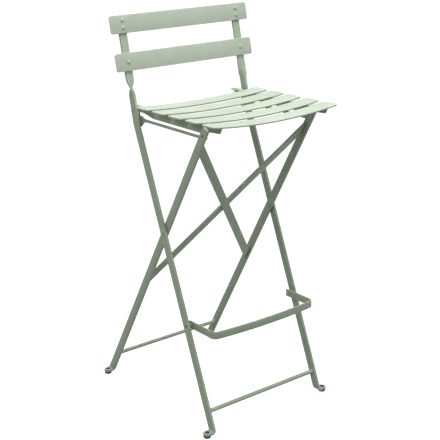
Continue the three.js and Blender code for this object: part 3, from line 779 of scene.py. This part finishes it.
# %% [markdown]
# ## Turned pieces
# Rods, rivets, washers and glides are round. Each starts as a disc that is pulled along its own
# line and scaled at each step, as a turner follows a profile, and is then laid where it belongs.

# %% Turning a profile
def turned_piece(name, profile, at, along, sides=40):
    """profile is a list of (distance along, radius) from the first disc to the last."""
    bpy.ops.object.select_all(action="DESELECT")
    start, radius = profile[0]
    bpy.ops.mesh.primitive_circle_add(
        vertices=sides, radius=radius, fill_type="NGON", location=(0, 0, start))
    piece = bpy.context.object
    piece.name = name
    bpy.ops.object.transform_apply(location=True, rotation=False, scale=False)
    bpy.ops.object.mode_set(mode="EDIT")
    bpy.ops.mesh.select_mode(type="FACE")
    bpy.ops.mesh.select_all(action="SELECT")
    for before, after in zip(profile, profile[1:]):
        pull((0, 0, after[0] - before[0]))
        size = after[1] / before[1]
        stretch(size, size, (0, 0, after[0]))
    close_bar(piece)
    return place(piece, Matrix.Translation(at) @ along.to_track_quat("Z", "Y").to_matrix().to_4x4())


def dome(start, radius, height, steps=7):
    """The profile of a round head that rises from a face at start, over a rim of a quarter height."""
    points = [(start, radius), (start + 0.25 * height, radius)]
    for i in range(1, steps):
        a = pi / 2 * i / steps
        points.append((start + height * (0.25 + 0.75 * sin(a)), radius * cos(a)))
    return points


# %% Stretchers, with a small weld bead at each end
FRONT_ROD_HEIGHT = 54 * MM
FRONT_ROD_RADIUS = 5.1 * MM
REAR_ROD_HEIGHT = 65 * MM
REAR_ROD_RADIUS = 4.9 * MM
# The bead from the leg inwards, in millimetres: how far along, and how much it adds to the radius.
WELD_BEAD = [(0, 1.6), (0.6, 1.6), (1.3, 1.3), (2.0, 0.6), (3.0, 0.1), (4.5, 0)]


def stretcher(node, height, line_y, radius, body):
    low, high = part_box(node)
    length = high[0] - low[0]
    profile = [(along * MM, radius + more * MM) for along, more in WELD_BEAD]
    profile += [(length - along, r) for along, r in reversed(profile)]
    at = Vector((low[0], line_y(height), height))
    piece = turned_piece(node + "_rod", profile, at, Vector((1, 0, 0)), 48)
    finish_piece(piece, body, [node], FRAME_PAINT, soften=0)


stretcher("front_stretcher", FRONT_ROD_HEIGHT, long_y, FRONT_ROD_RADIUS, "long_frame")
stretcher("rear_stretcher", REAR_ROD_HEIGHT, short_y, REAR_ROD_RADIUS, "short_frame")

# %% Rivets of the backrest
RIVET_HEAD = 4.6 * MM
RIVET_DOME = 2 * MM
RIVET_SHANK = 2.5 * MM
# Two on the top slat and one on the lower slat, as shares of the slat's height from its lower edge.
RIVET_PLACES = [("top", 0.72), ("top", 0.31), ("lower", 0.5)]

behind = -(SLAT_THICK + GAP + BAR_THICK) - GAP
shank = [
    (behind - 1.1 * MM, 3.4 * MM),
    (behind - 0.9 * MM, 4.1 * MM),
    (behind, 4.3 * MM),
    (behind, RIVET_SHANK),
    (GAP, RIVET_SHANK),
]
for word, side in (("left", -1), ("right", 1)):
    for number, (slat, share) in enumerate(RIVET_PLACES, 1):
        node = "back_rivet_%s_%d" % (word, number)
        up = BACK_SLATS[slat] + BACK_SLAT_HEIGHT * share
        slat_front = BACK_FRONT * (PROUD + SLAT_THICK / 2)
        at = BEND + BACK_UP * up + Vector((side * LONG_X, 0, 0)) + slat_front
        profile = shank + dome(GAP, RIVET_HEAD, RIVET_DOME)
        rivet = turned_piece(node + "_head", profile, at, BACK_FRONT, 32)
        finish_piece(rivet, "long_frame", [node], SLAT_PAINT_PAINTED_LIGHT, soften=0)

# %% Glides
GLIDE_RADIUS = 9 * MM
STEM_RADIUS = 3 * MM

tab_top = TAB_HEIGHT + BAR_THICK / 2 + GAP
# The disc on the floor, the stem through the tab, and the small head that holds it there.
glide_profile = [
    (0, 7.2 * MM),
    (0.35 * MM, 8.1 * MM),
    (1.2 * MM, 8.8 * MM),
    (2.2 * MM, GLIDE_RADIUS),
    (4.6 * MM, GLIDE_RADIUS),
    (5.6 * MM, 8.6 * MM),
    (GLIDE_HEIGHT, 7.8 * MM),
    (GLIDE_HEIGHT, STEM_RADIUS),
    (tab_top, STEM_RADIUS),
    (tab_top, 4.8 * MM),
    (tab_top + 0.5 * MM, 5 * MM),
    (tab_top + 1.1 * MM, 4.3 * MM),
    (tab_top + 1.5 * MM, 2.8 * MM),
]


def glides(end, x, line_y, reach, body):
    """The two glides at one end of the stool, under the middle of the tabs' round tips."""
    for word, side in (("left", -1), ("right", 1)):
        node = "%s_glide_%s" % (end, word)
        at = Vector((side * (x + BAR_THICK / 2 + reach - BAR_WIDTH / 2), line_y(TAB_HEIGHT), 0))
        glide = turned_piece(node + "_moulding", glide_profile, at, Vector((0, 0, 1)))
        finish_piece(glide, body, [node], GLIDE_PLASTIC, soften=0)


glides("front", LONG_X, long_y, FRONT_REACH, "long_frame")
glides("rear", SHORT_X, short_y, REAR_REACH, "short_frame")

# %% [markdown]
# ## Small hardware
# The pivots, washers, sleeves and pins already have their exact shape in the measured model. A
# copy of each is merged into one skin and gets the frame's paint.

# %% Finished copies of the small hardware
def finished_copy(node, body):
    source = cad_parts[node]
    copy = source.copy()
    copy.data = source.data.copy()
    copy.name = node + "_finished"
    copy.parent = None
    bpy.context.scene.collection.objects.link(copy)
    select_only(copy)
    bpy.ops.object.mode_set(mode="EDIT")
    bpy.ops.mesh.select_all(action="SELECT")
    bpy.ops.mesh.remove_doubles(threshold=MERGE)
    # Triangles that lie in one plane are joined in pairs, whatever their shape.
    bpy.ops.mesh.tris_convert_to_quads(face_threshold=radians(1), shape_threshold=radians(180))
    bpy.ops.object.mode_set(mode="OBJECT")
    finish_piece(copy, body, [node], FRAME_PAINT, soften=0)


LONG_FRAME_HARDWARE = (
    "cross_pivot_", "cross_washer_", "seat_hinge_rivet_", "footrest_rivet_", "footrest_standoff_")
for word in ("left", "right"):
    for hardware in LONG_FRAME_HARDWARE:
        finished_copy(hardware + word, "long_frame")
    finished_copy("hinge_sleeve_" + word, "seat")
    finished_copy("slot_pin_" + word, "slot_pins")

# %% [markdown]
# ## Camera, floor and light
# The photograph was taken from the stool's front left, half a metre above the seat, with a long lens.
# The camera's place and lens were solved from the bars' straight edges. The light is a plain
# studio: a broad soft panel overhead makes the slats bright, and two weaker ones, at the left and
# at the front right, keep the sides of the bars in soft shade.

# %% Camera
CAMERA_AT = Vector((-1.6212, CROSS_Y - 1.9699, 1.2966))
YAW, PITCH = -0.68895, -0.31871
LENS_PIXELS = 1099.1
FRAME_PIXELS = 440
LENS_AXIS_ROW = 218.77
SENSOR_MM = 36
camera_data = bpy.data.cameras.new("studio_camera")
camera_data.sensor_width = SENSOR_MM
camera_data.lens = LENS_PIXELS / FRAME_PIXELS * SENSOR_MM
camera_data.shift_y = (LENS_AXIS_ROW - FRAME_PIXELS / 2) / FRAME_PIXELS
camera_data.clip_end = 50
camera = bpy.data.objects.new("studio_camera", camera_data)
bpy.context.scene.collection.objects.link(camera)
camera.location = CAMERA_AT
heading = Vector((-sin(YAW) * cos(PITCH), cos(YAW) * cos(PITCH), sin(PITCH)))
camera.rotation_euler = heading.to_track_quat("-Z", "Y").to_euler()
bpy.context.scene.camera = camera
print("camera at", [round(c, 3) for c in CAMERA_AT], "lens", round(camera_data.lens, 2))

# %% White backdrop
# The camera sees a white floor and a white world. The stool itself is lit by a grey floor, a dim
# world and the lamps.
WHITE = (1, 1, 1, 1)
FLOOR_GREY = "#868684"
BACKDROP = 1.0
AMBIENT = 0.3


def seen_by_camera(tree):
    """1 where the camera looks, also in a reflection or through glass, and 0 for light given off."""
    rays = add_node(tree, "ShaderNodeLightPath").outputs
    seen = rays["Is Camera Ray"]
    for other in ("Is Glossy Ray", "Is Transmission Ray"):
        either = add_node(
            tree, "ShaderNodeMath", {"operation": "MAXIMUM"}, None, {0: seen, 1: rays[other]})
        seen = either.outputs[0]
    return seen


# %% Floor
bpy.ops.object.select_all(action="DESELECT")
bpy.ops.mesh.primitive_plane_add(size=12, location=(0, 0, -0.5 * MM))
floor = bpy.context.object
floor.name = "studio_floor"
floor_paint = bpy.data.materials.new("studio_floor_white")
tree = empty_tree(floor_paint)
seen = seen_by_camera(tree)
matt = add_node(tree, "ShaderNodeBsdfDiffuse", None, {"Color": linear(FLOOR_GREY)}).outputs["BSDF"]
glow = add_node(tree, "ShaderNodeEmission", None, {"Color": WHITE, "Strength": BACKDROP})
lit = add_node(tree, "ShaderNodeAddShader", None, None, {0: matt, 1: glow.outputs["Emission"]})
surface = add_node(
    tree, "ShaderNodeMixShader", None, None, {0: seen, 1: matt, 2: lit.outputs["Shader"]})
add_node(tree, "ShaderNodeOutputMaterial", None, None, {"Surface": surface.outputs["Shader"]})
floor.data.materials.append(floor_paint)

# %% World
world = bpy.data.worlds.new("studio_world")
bpy.context.scene.world = world
tree = empty_tree(world)
seen = seen_by_camera(tree)
ambient = add_node(tree, "ShaderNodeBackground", None, {"Color": WHITE, "Strength": AMBIENT})
backdrop = add_node(tree, "ShaderNodeBackground", None, {"Color": WHITE, "Strength": BACKDROP})
mixed = add_node(
    tree, "ShaderNodeMixShader", None, None,
    {0: seen, 1: ambient.outputs["Background"], 2: backdrop.outputs["Background"]},
)
add_node(tree, "ShaderNodeOutputWorld", None, None, {"Surface": mixed.outputs["Shader"]})


# %% Lamps
def soft_panel(name, at, aim, size, power):
    """A square panel of that size in metres and power in watts, turned from its place to its aim."""
    lamp = bpy.data.lights.new(name, "AREA")
    lamp.shape = "SQUARE"
    lamp.size = size
    lamp.energy = power
    holder = bpy.data.objects.new(name, lamp)
    bpy.context.scene.collection.objects.link(holder)
    holder.location = at
    holder.rotation_euler = (Vector(aim) - Vector(at)).to_track_quat("-Z", "Y").to_euler()


soft_panel("panel_overhead", (0.1, -0.25, 3.0), (0, 0, 0.5), 1.6, 80)
soft_panel("panel_left_side", (-1.7, -0.5, 2.1), (0, 0, 0.6), 1.0, 17)
soft_panel("panel_front_right", (1.6, -2.7, 1.5), (0, 0, 0.5), 1.8, 16)
bpy.context.scene.view_settings.view_transform = "Standard"
